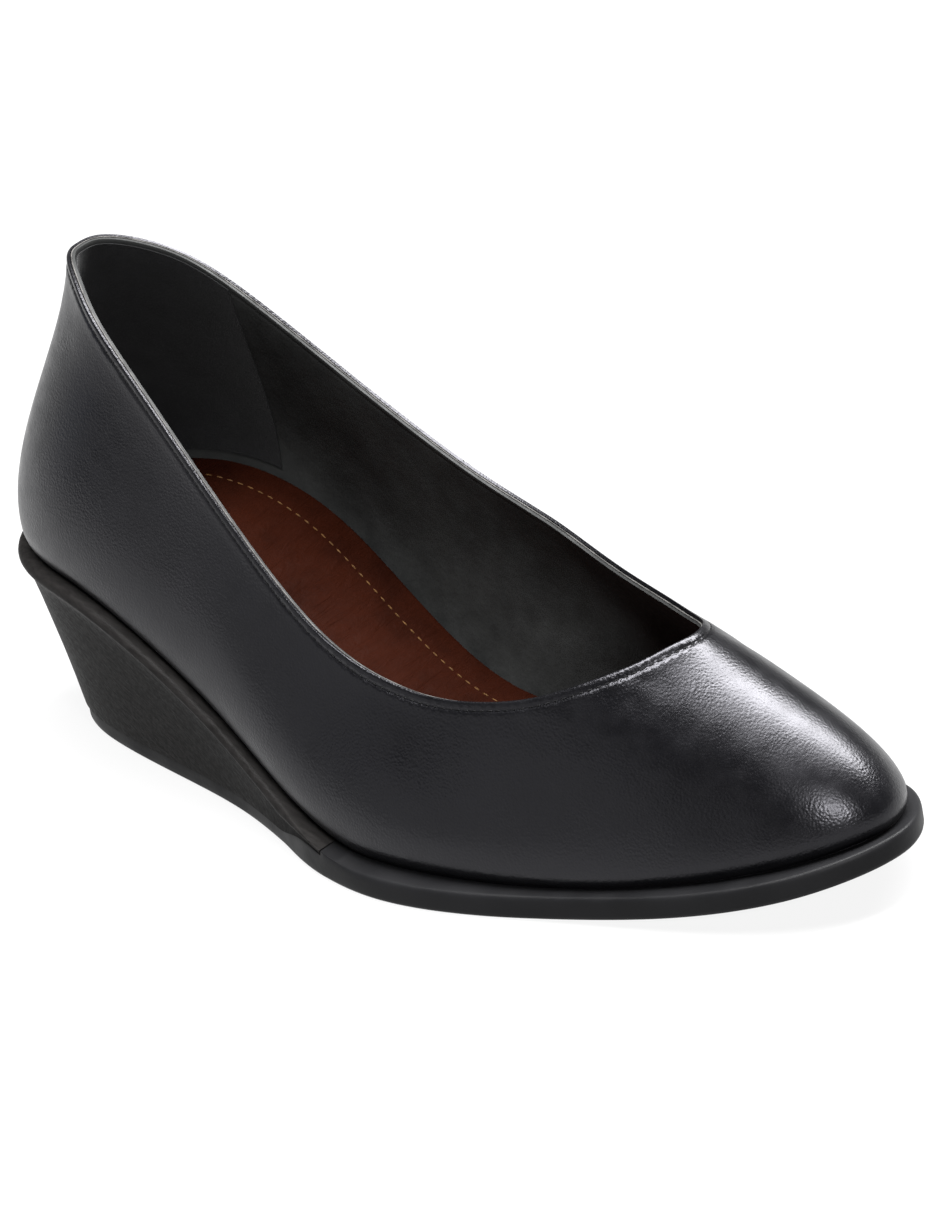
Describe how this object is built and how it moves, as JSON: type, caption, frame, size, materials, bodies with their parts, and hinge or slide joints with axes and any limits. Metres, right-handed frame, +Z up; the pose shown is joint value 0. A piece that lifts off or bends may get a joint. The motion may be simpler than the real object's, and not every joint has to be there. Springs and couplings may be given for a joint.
{
  "type": "wedge court shoe",
  "caption": "Low wedge court shoe in smooth leather for the right foot, with a covered wedge, a plain rubber outsole and a leather insole.",
  "frame": {"origin": "on the floor, in the middle of the shoe's box", "axes": "+X from the heel to the toe, +Y to the inner side of the foot, +Z up from the floor"},
  "size_m": [0.2454, 0.0898, 0.1132],
  "materials": {
    "upper_leather": "smooth, satin",
    "insole_leather": "soft, satin",
    "wedge_leather": "finely wrinkled, satin",
    "sole_rubber": "matte"
  },
  "bodies": {
    "root": {"upper": "upper_leather", "insole": "insole_leather", "wedge": "wedge_leather", "outsole": "sole_rubber"}
  },
  "joints": []
}
